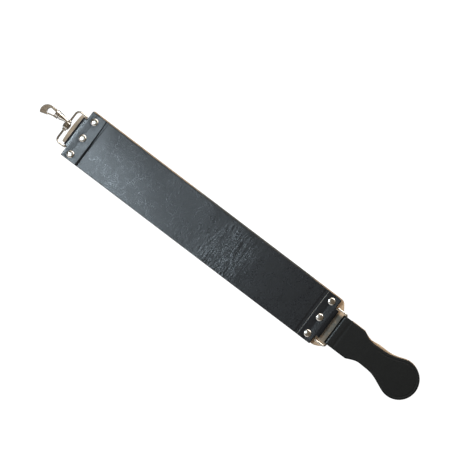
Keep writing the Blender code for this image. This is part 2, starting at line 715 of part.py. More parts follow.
def make_handle():
    """A front leaf folded round the ring's bar, a stiffening core and a rear leaf, glued together."""
    bar = BOTTOM_FAR_BAR
    start = bar - HANDLE_FOLD - GAP
    pivot = (bar, BOTTOM_RING_Y, BAR_Z)
    front_end = bar + HANDLE_LENGTH + PADDLE_RADIUS
    back_end = bar + HANDLE_RETURN
    front = folded_sheet("handle_front", bar, -1, front_end, back_end, HANDLE_LEATHER, STRAP_WIDTH)
    pattern = prism("pattern_handle", handle_outline(start), 0, 2 * TAB_FACE, CUTTERS)
    combine(front, pattern, "INTERSECT")
    place(front, HANDLE_BLACK, pivot)

    core_outline = handle_outline(bar + WIRE_RADIUS + 2 * GAP, CORE_INSET)
    core = prism("handle_core", core_outline, STRAP_FLOOR, BAR_Z + WIRE_RADIUS, PARTS)
    place(core, TAN_LEATHER, pivot)

    rear_top = BAR_Z - FOLD_INSIDE
    back_outline = handle_outline(bar + HANDLE_RETURN + GAP, 0.0, HANDLE_BACK_SHIFT, HANDLE_BACK_WAIST)
    back = prism("handle_back", back_outline, rear_top - HANDLE_LEATHER, rear_top, PARTS)
    place(back, TAN_LEATHER, pivot)


def make_strop():
    make_front_strap()
    make_rear_strap()
    make_tab("top_tab", -1, TOP_FLAP, TOP_FLAP_SKEW)
    make_tab("bottom_tab", 1, BOTTOM_FLAP, 0.0)
    for side, end in ((-1, "top"), (1, "bottom")):
        for centre, label in zip(rivet_places(side), ("right", "middle", "left")):
            make_rivet(f"{end}_{label}", centre)
    make_ring("top_ring", TOP_BAR, TOP_FAR_BAR, TOP_RING_WIDTH, 0.0, RING_OPEN_CORNER)
    make_ring("bottom_ring", BOTTOM_BAR, BOTTOM_FAR_BAR, BOTTOM_RING_WIDTH, BOTTOM_RING_Y, COVERED_CORNER)
    make_swivel()
    make_hook_body()
    make_gate()
    make_gate_spring()
    make_handle()
    for cutter in CUTTERS.objects:
        cutter.parent = ROOT
        cutter.hide_render = True
        cutter.display_type = "WIRE"


clear_scene()
PARTS = new_collection("razor_strop")
CUTTERS = new_collection("cutters", hidden=True)
ROOT = bpy.data.objects.new("strop_root", None)
ROOT.location = -MIDDLE
PARTS.objects.link(ROOT)
make_strop()
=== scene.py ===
"""Looks of a hanging razor strop: leather plies, end tabs, rivets, rings, snap hook and paddle handle."""

import math

import bpy
import numpy as np
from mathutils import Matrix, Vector
from mathutils.kdtree import KDTree


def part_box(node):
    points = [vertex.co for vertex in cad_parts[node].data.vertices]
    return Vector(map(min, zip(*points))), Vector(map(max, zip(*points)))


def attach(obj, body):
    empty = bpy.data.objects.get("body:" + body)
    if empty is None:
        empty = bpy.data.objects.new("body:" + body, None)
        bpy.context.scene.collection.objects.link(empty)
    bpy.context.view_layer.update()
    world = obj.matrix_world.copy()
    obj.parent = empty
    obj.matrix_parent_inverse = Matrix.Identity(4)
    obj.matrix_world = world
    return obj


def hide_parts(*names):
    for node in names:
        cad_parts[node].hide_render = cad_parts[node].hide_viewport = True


bl_info = {
    "name": "Razor Strop",
    "version": (1, 0, 0),
    "blender": (4, 5, 0),
    "location": "3D View > Sidebar > Strop",
    "description": "Dresses the packed razor strop in leather and nickel, and sets up its studio",
    "category": "Object",
}

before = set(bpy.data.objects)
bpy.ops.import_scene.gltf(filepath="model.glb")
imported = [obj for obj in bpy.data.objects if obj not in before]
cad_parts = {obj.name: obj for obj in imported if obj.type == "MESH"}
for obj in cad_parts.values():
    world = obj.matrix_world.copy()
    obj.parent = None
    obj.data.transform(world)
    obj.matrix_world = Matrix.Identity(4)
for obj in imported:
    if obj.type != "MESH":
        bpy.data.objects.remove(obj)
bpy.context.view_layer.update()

SIDES = ("right", "middle", "left")
ENDS = ("top", "bottom")
MERGE = 1e-6
GAP = 0.0003  # clearance between pieces that turn or sit in each other

TAB_REACH = 0.0222  # length of the honing ply that lies under a tab
TAB_RECESS = 0.0004  # how much thinner the ply is there
CREASE_PLACE = 0.0395  # the creased band, from the ply's middle towards the handle
CREASE_LEAN = 0.010  # how far the band leans over the ply's width
CREASE_WIDTH = 0.021
CROWN = 0.0011  # rise of the ply's middle near the hook
HUMP = 0.0006  # rise of the ply at the creases

RING_SHADE_HALF = 0.0205  # half the width of the rear ply, seen through the lower ring, that gets grey painted shade
RING_SHADE_SHIFT = -0.003
EDGE_SHADE_RUN = (-0.085, -0.045, 0.085, 0.115)  # painted shade: the rear ply's +Y edge, under the honing ply's edge, is painted near black between the middle two

PRESS_RADIUS = 0.0058  # dent of a tab round each rivet
PRESS_DEPTH = 0.00012
VALLEY_OUT, VALLEY_IN = 0.0095, 0.0125  # reach of a tab's valley beyond its rivets and before them
VALLEY_DEPTH = 0.0008
SKIVE_LENGTH, SKIVE_DEPTH = 0.0031, 0.0016  # the top flap is thinned towards its end; the black slope stands in for the shadow at the flap's end

PADDLE_CREASE = 0.0036  # the pressed line, from the paddle's edge
CREASE_DEPTH = 0.00038
FOLD_LINE = 0.0098  # the line over the handle's fold, from its front
FOLD_LINE_HALF = 0.0155
LINE_DEPTH = 0.00012


# Sizes and colours that a user may change


class StropLeather(bpy.types.PropertyGroup):
    """Finish of the strop's leathers."""

    black: bpy.props.FloatVectorProperty(
        name="Black grain", description="Colour of the honing ply and the tabs",
        subtype="COLOR", size=3, min=0, max=1, default=(0.0070, 0.0078, 0.0095),
    )
    handle_black: bpy.props.FloatVectorProperty(
        name="Handle black", description="Colour of the handle's front leaf",
        subtype="COLOR", size=3, min=0, max=1, default=(0.0030, 0.0032, 0.0028),
    )
    tan: bpy.props.FloatVectorProperty(
        name="Tan", description="Colour of the rear ply and the handle's rear leaf",
        subtype="COLOR", size=3, min=0, max=1, default=(0.47, 0.325, 0.205),
    )
    # Painted shade: this grey, and a near black made from it, are painted on the rear ply where it lies in
    # shade.
    shade_grey: bpy.props.FloatVectorProperty(
        name="Soil", description="Colour of the tan leather where the rings have rubbed it grey",
        subtype="COLOR", size=3, min=0, max=1, default=(0.105, 0.097, 0.080),
    )
    raw_edge: bpy.props.FloatVectorProperty(
        name="Raw edge", description="Colour of the cut edges of the black leather",
        subtype="COLOR", size=3, min=0, max=1, default=(0.36, 0.31, 0.25),
    )
    pebble: bpy.props.FloatProperty(
        name="Pebble size", description="Size of one pebble of the grain",
        unit="LENGTH", min=0.0001, max=0.01, default=0.00105,
    )
    edge_round: bpy.props.FloatProperty(
        name="Edge rounding", description="Rounding of the plies' burnished edges",
        unit="LENGTH", min=0.0001, max=0.002, default=0.00045,
    )
    wave: bpy.props.FloatProperty(
        name="Waviness", description="Height of the slow waves along the honing ply",
        unit="LENGTH", min=0, max=0.002, default=0.0005,
    )
    crease: bpy.props.FloatProperty(
        name="Crease depth", description="Depth of the creases across the middle of the honing ply",
        unit="LENGTH", min=0, max=0.001, default=0.0005,
    )


class StropMetal(bpy.types.PropertyGroup):
    """Finish of the strop's metal parts."""

    nickel: bpy.props.FloatVectorProperty(
        name="Nickel", description="Colour of the plated parts",
        subtype="COLOR", size=3, min=0, max=1, default=(0.80, 0.765, 0.71),
    )
    tarnish: bpy.props.FloatVectorProperty(
        name="Tarnish", description="Colour of the dull brown patches",
        subtype="COLOR", size=3, min=0, max=1, default=(0.33, 0.26, 0.19),
    )
    steel: bpy.props.FloatVectorProperty(
        name="Spring steel", description="Colour of the gate's spring",
        subtype="COLOR", size=3, min=0, max=1, default=(0.42, 0.42, 0.44),
    )


class StropStudio(bpy.types.PropertyGroup):
    """Camera, floor and lights."""

    camera_height: bpy.props.FloatProperty(
        name="Camera height", description="Height of the camera over the honing face",
        unit="LENGTH", min=0.3, max=5, default=1.3,
    )
    field: bpy.props.FloatProperty(
        name="Field", description="Width of the view at the honing face",
        unit="LENGTH", min=0.1, max=5, default=0.540,
    )
    turn: bpy.props.FloatProperty(
        name="Camera turn", description="Turn of the camera about the vertical",
        subtype="ANGLE", default=math.radians(37.24),
    )
    aim: bpy.props.FloatVectorProperty(
        name="Aim", description="Point on the floor that the camera is over",
        subtype="XYZ", unit="LENGTH", size=2, default=(-0.0123, 0.0173),
    )
    floor: bpy.props.FloatVectorProperty(
        name="Floor", description="Colour of the floor",
        subtype="COLOR", size=3, min=0, max=1, default=(0.14, 0.14, 0.14),
    )
    floor_glow: bpy.props.FloatProperty(
        name="Floor glow", description="How brightly the floor is lit through from below for the camera",
        min=0, max=2, default=0.99,
    )
    key_power: bpy.props.FloatProperty(
        name="Key power", description="Power of the key light above the hook end",
        subtype="POWER", min=0, default=8.2,
    )
    card_power: bpy.props.FloatProperty(
        name="Card power", description="Power of the cream card over the hook, which only small metal sees",
        subtype="POWER", min=0, default=0.10,
    )
    fill_power: bpy.props.FloatProperty(
        name="Fill power", description="Power of the wide low light on the +Y side",
        subtype="POWER", min=0, default=8.0,
    )


class StropSettings(bpy.types.PropertyGroup):
    """All settings of the strop."""

    leather: bpy.props.PointerProperty(type=StropLeather)
    metal: bpy.props.PointerProperty(type=StropMetal)
    studio: bpy.props.PointerProperty(type=StropStudio)


# Modelling by operators


def rest_tools():
    """Leaves edit mode and deselects everything."""
    if bpy.context.mode != "OBJECT":
        bpy.ops.object.mode_set(mode="OBJECT")
    bpy.ops.object.select_all(action="DESELECT")


def hold(obj):
    """Makes obj the only selected and active object."""
    rest_tools()
    obj.select_set(True)
    bpy.context.view_layer.objects.active = obj


def settle(obj):
    """Moves the object's place, turn and scale into its mesh."""
    hold(obj)
    bpy.ops.object.transform_apply(location=True, rotation=True, scale=True)
    return obj


def named(name):
    """The primitive just added, under the piece's name, with its place in its mesh."""
    obj = bpy.context.view_layer.objects.active
    obj.name = name
    obj.data.name = name
    return settle(obj)


def sheet_grid(name, low, high, cells_x, cells_y):
    """A level grid from low to high, at the height of high."""
    rest_tools()
    low, high = Vector(low), Vector(high)
    middle = (low + high) / 2
    middle.z = high.z
    bpy.ops.mesh.primitive_grid_add(x_subdivisions=cells_x, y_subdivisions=cells_y, size=1, location=middle)
    bpy.context.object.scale = (high.x - low.x, high.y - low.y, 1)
    return named(name)


def choose(obj, test, kind="faces"):
    """Selects the faces or corners whose place and normal pass the test, and enters edit mode."""
    hold(obj)
    mesh = obj.data
    for items in (mesh.vertices, mesh.edges, mesh.polygons):
        items.foreach_set("select", [False] * len(items))
    if kind == "faces":
        chosen = [test(face.center, face.normal) for face in mesh.polygons]
        mesh.polygons.foreach_set("select", chosen)
    else:
        chosen = [test(corner.co, corner.normal) for corner in mesh.vertices]
        mesh.vertices.foreach_set("select", chosen)
    if not any(chosen):
        raise RuntimeError(f"{obj.name}: nothing to select")
    bpy.context.tool_settings.mesh_select_mode = (kind == "corners", False, kind == "faces")
    bpy.ops.object.mode_set(mode="EDIT")


def choose_all(obj):
    hold(obj)
    bpy.ops.object.mode_set(mode="EDIT")
    bpy.ops.mesh.select_all(action="SELECT")


def with_modifier(obj, kind, **values):
    """Adds a modifier, sets it and applies it."""
    hold(obj)
    modifier = obj.modifiers.new(kind.lower(), kind)
    for key, value in values.items():
        setattr(modifier, key, value)
    bpy.ops.object.modifier_apply(modifier=modifier.name)
    return obj


def round_edges(obj, width, segments=3, angle=50):
    return with_modifier(
        obj, "BEVEL", width=width, segments=segments, limit_method="ANGLE", angle_limit=math.radians(angle)
    )


def soften(obj, voxel, passes, factor=0.5):
    """Rebuilds the surface in small even faces and smooths it, which rounds every corner a little."""
    with_modifier(obj, "REMESH", mode="VOXEL", voxel_size=voxel, use_smooth_shade=True)
    return with_modifier(obj, "SMOOTH", iterations=passes, factor=factor)


def cut_with(obj, cutter, operation="DIFFERENCE"):
    with_modifier(obj, "BOOLEAN", operation=operation, object=cutter, solver="EXACT")
    bpy.data.objects.remove(cutter, do_unlink=True)
    return obj


def copy_of(node, name):
    """A copy of a CAD node's mesh with its loose triangles merged."""
    rest_tools()
    obj = bpy.data.objects.new(name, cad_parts[node].data.copy())
    obj.data.name = name
    obj.data.materials.clear()
    bpy.context.scene.collection.objects.link(obj)
    choose_all(obj)
    bpy.ops.mesh.remove_doubles(threshold=MERGE)
    rest_tools()
    return obj


def turned_piece(name, rings, centre, axis="Z", segments=40):
    """A round piece raised ring by ring from a short cylinder. rings are (radius, height) from its foot."""
    rest_tools()
    radius, foot = rings[0]
    top = rings[1][1]
    bpy.ops.mesh.primitive_cylinder_add(
        vertices=segments, radius=radius, depth=top - foot, location=(0, 0, (top + foot) / 2)
    )
    obj = named(name)
    scale = rings[1][0] / radius
    choose(obj, lambda place, normal: normal.z > 0.9)
    bpy.ops.transform.resize(value=(scale, scale, 1), center_override=(0, 0, top))
    for (before, low), (after, high) in zip(rings[1:], rings[2:]):
        bpy.ops.mesh.extrude_region_move(TRANSFORM_OT_translate={"value": (0, 0, high - low)})
        scale = after / before
        bpy.ops.transform.resize(value=(scale, scale, 1), center_override=(0, 0, high))
    rest_tools()
    turns = {"X": (0, math.radians(-90), 0), "Y": (math.radians(-90), 0, 0), "Z": (0, 0, 0)}
    obj.rotation_euler = turns[axis]
    obj.location = centre
    return settle(obj)


def smooth_shading(obj, angle=40):
    hold(obj)
    bpy.ops.object.shade_smooth_by_angle(angle=math.radians(angle))


def points_of(obj):
    flat = np.empty(len(obj.data.vertices) * 3, np.float32)
    obj.data.vertices.foreach_get("co", flat)
    return flat.reshape(-1, 3).astype(float)


def normals_of(obj):
    flat = np.empty(len(obj.data.vertices) * 3, np.float32)
    obj.data.vertex_normals.foreach_get("vector", flat)
    return flat.reshape(-1, 3).astype(float)


def move_points(obj, points):
    obj.data.vertices.foreach_set("co", points.astype(np.float32).ravel())
    obj.data.update()


def store(obj, name, values):
    """Keeps one number per point for the material to read."""
    attribute = obj.data.attributes.get(name) or obj.data.attributes.new(name, "FLOAT", "POINT")
    attribute.data.foreach_set("value", np.asarray(values, np.float32))


def spread(obj, values, passes):
    """Blurs one number per point along the mesh's edges."""
    pairs = np.empty(len(obj.data.edges) * 2, np.int32)
    obj.data.edges.foreach_get("vertices", pairs)
    a, b = pairs[0::2], pairs[1::2]
    values = np.asarray(values, float)
    count = np.bincount(a, minlength=len(values)) + np.bincount(b, minlength=len(values))
    for _ in range(passes):
        total = np.bincount(a, values[b], len(values)) + np.bincount(b, values[a], len(values))
        values = 0.5 * values + 0.5 * total / np.maximum(count, 1)
    return values


def cut_walls(normals, folded=False):
    """True where a leaf's cut edge shows. Where the leaf is folded, only its two sides are cut."""
    return np.where(folded, np.abs(normals[:, 1]) > 0.55, np.abs(normals[:, 2]) < 0.62)


def bump_between(value, low, high):
    """0 at low and below, 1 at high and above, smooth between."""
    t = np.clip((value - low) / (high - low), 0, 1)
    return t * t * (3 - 2 * t)


def finish_piece(obj, material, body, nodes, angle=40):
    """Gives a finished piece its material and body, and hides the CAD nodes that it stands for."""
    smooth_shading(obj, angle)
    rest_tools()
    obj.data.materials.clear()
    obj.data.materials.append(material)
    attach(obj, body)
    if nodes:
        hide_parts(*nodes)
    return obj


# Shader building


def add_node(tree, kind, settings=None, **inputs):
    """Adds a node. An input is named with _ for a space, or iN for the Nth."""
    node = tree.nodes.new(kind)
    for key, value in (settings or {}).items():
        setattr(node, key, value)
    for key, value in inputs.items():
        numbered = key[0] == "i" and key[1:].isdigit()
        socket = node.inputs[int(key[1:])] if numbered else node.inputs[key.replace("_", " ")]
        if isinstance(value, bpy.types.NodeSocket):
            tree.links.new(value, socket)
        else:
            socket.default_value = value
    return node


def sums(tree, operation, a, b):
    return add_node(tree, "ShaderNodeMath", {"operation": operation}, i0=a, i1=b).outputs[0]


def product(tree, a, b):
    return sums(tree, "MULTIPLY", a, b)


def blend(tree, a, share_a, b, share_b):
    """The sum of a and b, each times its share."""
    return sums(tree, "ADD", product(tree, a, share_a), product(tree, b, share_b))


def between(tree, value, low, high, to_low=0.0, to_high=1.0):
    """Maps value from low..high to to_low..to_high, clamped."""
    settings = {"clamp": True, "interpolation_type": "SMOOTHSTEP"}
    mapped = add_node(
        tree, "ShaderNodeMapRange", settings,
        Value=value, From_Min=low, From_Max=high, To_Min=to_low, To_Max=to_high,
    )
    return mapped.outputs[0]


def mix_colours(tree, share, first, second):
    """The first colour where share is 0, the second where it is 1."""
    node = add_node(tree, "ShaderNodeMix", {"data_type": "RGBA", "clamp_factor": True})
    for index, value in ((0, share), (6, first), (7, second)):
        if isinstance(value, bpy.types.NodeSocket):
            tree.links.new(value, node.inputs[index])
        else:
            node.inputs[index].default_value = value
    return node.outputs[2]


def noise(tree, place, size, detail=3.0, rough=0.55, warp=0.0):
    """Soft noise whose features are about size across. size is a number or a socket."""
    scale = sums(tree, "DIVIDE", 1.0, size) if isinstance(size, bpy.types.NodeSocket) else 1 / size
    settings = {"Detail": detail, "Roughness": rough, "Distortion": warp}
    return add_node(tree, "ShaderNodeTexNoise", None, Vector=place, Scale=scale, **settings).outputs[0]


def stretched(tree, place, scale, turn=(0.0, 0.0, 0.0)):
    return add_node(tree, "ShaderNodeMapping", None, Vector=place, Rotation=turn, Scale=scale).outputs[0]


def effect(name, inputs, outputs):
    """A new node group and its two ends. inputs are (name, default); outputs are names."""
    tree = bpy.data.node_groups.new(name, "ShaderNodeTree")
    tree.interface.new_socket(name="Place", in_out="INPUT", socket_type="NodeSocketVector")
    for label, default in inputs:
        socket = tree.interface.new_socket(name=label, in_out="INPUT", socket_type="NodeSocketFloat")
        socket.default_value = default
    for label in outputs:
        tree.interface.new_socket(name=label, in_out="OUTPUT", socket_type="NodeSocketFloat")
    start = tree.nodes.new("NodeGroupInput")
    end = tree.nodes.new("NodeGroupOutput")
    return tree, start.outputs, end.inputs


def leather_grain():
    """Pebbles, pores and fine wrinkles of a grain side."""
    if "leather_grain" in bpy.data.node_groups:
        return bpy.data.node_groups["leather_grain"]
    tree, given, out = effect(
        "leather_grain", [("Pebble Size", 0.001), ("Depth", 1.0)], ["Height", "Tone", "Polish"]
    )
    place = given["Place"]
    scale = sums(tree, "DIVIDE", 1.0, given["Pebble Size"])
    drift = add_node(tree, "ShaderNodeTexNoise", None, Vector=place, Scale=420.0, Detail=2.0)
    bent = add_node(tree, "ShaderNodeVectorMath", {"operation": "MULTIPLY_ADD"}, i0=drift.outputs[1],
                    i1=(0.0004, 0.0004, 0.0004), i2=place).outputs[0]
    cells = add_node(tree, "ShaderNodeTexVoronoi", {"feature": "SMOOTH_F1"}, Vector=bent, Scale=scale)
    cells.inputs["Smoothness"].default_value = 0.55
    small_scale = sums(tree, "MULTIPLY", scale, 2.3)
    small = add_node(tree, "ShaderNodeTexVoronoi", {"feature": "F1"}, Vector=bent, Scale=small_scale)
    pebble = between(tree, cells.outputs["Distance"], 0.05, 0.75, 1.0, 0.0)
    pores = between(tree, small.outputs["Distance"], 0.0, 0.6, 1.0, 0.0)
    fine = noise(tree, place, 0.00035, 4.0, 0.6)
    slow = noise(tree, place, 0.012, 3.0, 0.6, 0.6)
    swell = noise(tree, place, 0.0017, 2.0, 0.6)
    height = sums(tree, "ADD", blend(tree, pebble, 0.6, pores, 0.25), blend(tree, fine, 0.3, swell, 2.6))
    tree.links.new(product(tree, height, given["Depth"]), out["Height"])
    tree.links.new(between(tree, blend(tree, slow, 0.7, fine, 0.3), 0.3, 0.7), out["Tone"])
    tree.links.new(between(tree, blend(tree, pebble, 0.35, slow, 0.65), 0.25, 0.75), out["Polish"])
    return tree


def crease_lines():
    """Broken creases that run across a strap, along Y."""
    if "crease_lines" in bpy.data.node_groups:
        return bpy.data.node_groups["crease_lines"]
    tree, given, out = effect("crease_lines", [("Spacing", 0.002)], ["Height"])
    place = given["Place"]
    wide = stretched(tree, place, (1.0, 0.09, 1.0), (0.0, 0.0, math.radians(4)))
    scale = sums(tree, "DIVIDE", 1.0, given["Spacing"])
    node = add_node(
        tree, "ShaderNodeTexNoise", {"noise_type": "RIDGED_MULTIFRACTAL"}, Vector=wide, Scale=scale,
        Detail=2.0, Roughness=0.6, Offset=1.0, Gain=2.0,
    )
    tree.links.new(between(tree, node.outputs[0], 0.7, 1.9), out["Height"])
    return tree


def fibre_edge():
    """Layered fibres of a cut edge."""
    if "fibre_edge" in bpy.data.node_groups:
        return bpy.data.node_groups["fibre_edge"]
    tree, given, out = effect("fibre_edge", [("Layer", 0.0004)], ["Height", "Tone"])
    place = given["Place"]
    layers = noise(tree, stretched(tree, place, (0.12, 0.12, 1.0)), given["Layer"], 4.0, 0.65)
    patches = noise(tree, place, 0.004, 3.0)
    tree.links.new(layers, out["Height"])
    tree.links.new(between(tree, blend(tree, layers, 0.6, patches, 0.4), 0.3, 0.7), out["Tone"])
    return tree


def handled_metal():
    """Fine scratches, dull patches and small pits of handled plating."""
    if "handled_metal" in bpy.data.node_groups:
        return bpy.data.node_groups["handled_metal"]
    tree, given, out = effect("handled_metal", [("Pit Size", 0.0004)], ["Height", "Tarnish", "Dull"])
    place = given["Place"]
    scratch = noise(tree, stretched(tree, place, (0.25, 3.0, 1.0), (0.3, 0.2, 0.6)), 0.0006, 3.0, 0.6)
    pits = noise(tree, place, given["Pit Size"], 3.0, 0.6)
    patches = noise(tree, place, 0.0035, 4.0, 0.6, 0.8)
    tree.links.new(blend(tree, scratch, 0.4, pits, 0.6), out["Height"])
    tree.links.new(between(tree, patches, 0.55, 0.78), out["Tarnish"])
    tree.links.new(between(tree, blend(tree, patches, 1.0, scratch, 0.3), 0.45, 0.95), out["Dull"])
    return tree


def use_effect(tree, group, place, **values):
    node = add_node(tree, "ShaderNodeGroup", {"node_tree": group}, Place=place, **values)
    return node.outputs


def blank_material(name):
    material = bpy.data.materials.new(name)
    material.use_nodes = True
    tree = material.node_tree
    shader = tree.nodes["Principled BSDF"]
    place = tree.nodes.new("ShaderNodeTexCoord").outputs["Object"]
    return material, tree, shader, place


def piece_value(tree, name):
    """The number that a piece keeps at each of its points."""
    return add_node(tree, "ShaderNodeAttribute", {"attribute_name": name}).outputs["Fac"]


def colour(values):
    return (*values, 1.0)


def scaled(values, by):
    return (*(min(v * by, 1.0) for v in values), 1.0)


def bumped(tree, shader, height, depth, strength=1.0):
    bump = add_node(tree, "ShaderNodeBump", None, Strength=strength, Distance=depth, Height=height)
    tree.links.new(bump.outputs[0], shader.inputs["Normal"])


def grain_leather(name, main, raw, rough, pebble, depth, gloss=0.1, creased=False, specular=0.5):
    """Dyed grain leather with raw cut edges. Its pieces keep cut_edge, smooth_fold and crease_band."""
    material, tree, shader, place = blank_material(name)
    grain = use_effect(tree, leather_grain(), place, Pebble_Size=pebble, Depth=1.0)
    edge = use_effect(tree, fibre_edge(), place)
    cut = between(tree, piece_value(tree, "cut_edge"), 0.35, 0.75)
    fold = piece_value(tree, "smooth_fold")
    dyed = mix_colours(tree, grain["Tone"], scaled(main, 0.72), scaled(main, 1.35))
    fibres = mix_colours(tree, edge["Tone"], scaled(raw, 0.45), scaled(raw, 1.15))
    tree.links.new(mix_colours(tree, cut, dyed, fibres), shader.inputs["Base Color"])
    surface = between(tree, grain["Polish"], 0.0, 1.0, rough + 0.07, rough - 0.07)
    surface = sums(tree, "SUBTRACT", surface, product(tree, fold, gloss))
    surface = sums(tree, "ADD", surface, product(tree, cut, 0.78 - rough))
    flattened = sums(tree, "SUBTRACT", 1.0, product(tree, fold, 0.6))
    height = product(tree, grain["Height"], flattened)
    if creased:
        band = piece_value(tree, "crease_band")
        lines = use_effect(tree, crease_lines(), place, Spacing=0.0027)["Height"]
        height = sums(tree, "ADD", height, product(tree, product(tree, lines, band), 4.4))
        surface = sums(tree, "SUBTRACT", surface, product(tree, band, 0.07))
    tree.links.new(surface, shader.inputs["Roughness"])
    bumped(tree, shader, height, depth)
    shader.inputs["Specular IOR Level"].default_value = specular
    return material


def natural_leather(name, main, shade_grey, rough, pebble, depth):
    """Undyed, mottled leather with open pores. Its pieces keep a number per point for painted shade: grey at
    1, near black at 2.
    """
    material, tree, shader, place = blank_material(name)
    grain = use_effect(tree, leather_grain(), place, Pebble_Size=pebble, Depth=1.0)
    edge = use_effect(tree, fibre_edge(), place)
    cut = between(tree, piece_value(tree, "cut_edge"), 0.3, 0.8)
    stain = between(tree, noise(tree, place, 0.03, 5.0, 0.62, 0.7), 0.42, 0.72)
    streak = noise(tree, stretched(tree, place, (0.15, 1.0, 1.0)), 0.004, 4.0, 0.6)
    skin = mix_colours(tree, grain["Tone"], scaled(main, 0.80), scaled(main, 1.10))
    skin = mix_colours(tree, product(tree, stain, 0.45), skin, scaled(main, 0.55))
    skin = mix_colours(tree, between(tree, streak, 0.5, 0.8, 0.0, 0.35), skin, scaled(main, 1.3))
    patch = noise(tree, place, 0.006, 4.0, 0.62, 0.4)
    # Painted shade: grey mottled patches where the piece keeps 1.
    painted_shade = piece_value(tree, "painted_shade")
    shade_share = product(tree, painted_shade, between(tree, patch, 0.25, 0.55, 0.55, 1.0))
    grey = mix_colours(tree, grain["Tone"], scaled(shade_grey, 0.7), scaled(shade_grey, 1.25))
    skin = mix_colours(tree, shade_share, skin, grey)
    fibres = mix_colours(tree, edge["Tone"], scaled(main, 0.42), scaled(main, 0.95))
    fibres = mix_colours(tree, product(tree, shade_share, 0.8), fibres, scaled(shade_grey, 0.8))
    skin = mix_colours(tree, cut, skin, fibres)
    # Painted shade: near black where the piece keeps 2.
    skin = mix_colours(tree, between(tree, painted_shade, 1.1, 1.8), skin, scaled(shade_grey, 0.1))
    tree.links.new(skin, shader.inputs["Base Color"])
    surface = between(tree, grain["Polish"], 0.0, 1.0, rough + 0.1, rough - 0.06)
    tree.links.new(surface, shader.inputs["Roughness"])
    height = sums(tree, "ADD", grain["Height"], product(tree, product(tree, edge["Height"], cut), 1.2))
    bumped(tree, shader, height, depth)
    return material


def plated_metal(name, main, dull, rough, pit, depth):
    """Nickel plate with handling marks and brown tarnish where it wore."""
    material, tree, shader, place = blank_material(name)
    marks = use_effect(tree, handled_metal(), place, Pit_Size=pit)
    shade = mix_colours(tree, product(tree, marks["Tarnish"], 0.75), colour(main), colour(dull))
    tree.links.new(shade, shader.inputs["Base Color"])
    tree.links.new(between(tree, marks["Dull"], 0.0, 1.0, rough, rough + 0.16), shader.inputs["Roughness"])
    bumped(tree, shader, marks["Height"], depth)
    shader.inputs["Metallic"].default_value = 1.0
    return material


def finish_named(name):
    """The finish of that name, made the first time it is asked for."""
    if name in bpy.data.materials:
        return bpy.data.materials[name]
    settings = bpy.context.scene.strop
    leather, metal = settings.leather, settings.metal
    raw = tuple(leather.raw_edge)
    makers = {
        "honing_leather": lambda: grain_leather(
            name, leather.black, scaled(raw, 0.4)[:3], rough=0.335, pebble=leather.pebble,
            depth=0.00008, creased=True,
        ),
        "tab_leather": lambda: grain_leather(
            name, leather.black, raw, rough=0.345, pebble=leather.pebble, depth=0.00008
        ),
        "paddle_leather": lambda: grain_leather(
            name, leather.handle_black, scaled(raw, 0.25)[:3], rough=0.62,
            pebble=leather.pebble * 0.8, depth=0.00007, gloss=0.34, specular=0.28,
        ),
        "rear_leather": lambda: natural_leather(
            name, leather.tan, leather.shade_grey, rough=0.6, pebble=leather.pebble * 0.9, depth=0.00008
        ),
        "core_board": lambda: natural_leather(
            name, scaled(leather.tan, 0.5)[:3], leather.shade_grey, rough=0.75, pebble=leather.pebble, depth=0.0001
        ),
        "cast_nickel": lambda: plated_metal(
            name, metal.nickel, metal.tarnish, rough=0.14, pit=0.0008, depth=0.000006
        ),
        "drawn_nickel": lambda: plated_metal(
            name, metal.nickel, scaled(metal.nickel, 0.6)[:3], rough=0.10, pit=0.0006, depth=0.000002
        ),
        "cap_nickel": lambda: plated_metal(
            name, metal.nickel, metal.tarnish, rough=0.17, pit=0.0006, depth=0.000004
        ),
        "drawn_spring": lambda: plated_metal(
            name, metal.steel, metal.tarnish, rough=0.25, pit=0.0002, depth=0.00001
        ),
    }
    return makers[name]()


# The pieces


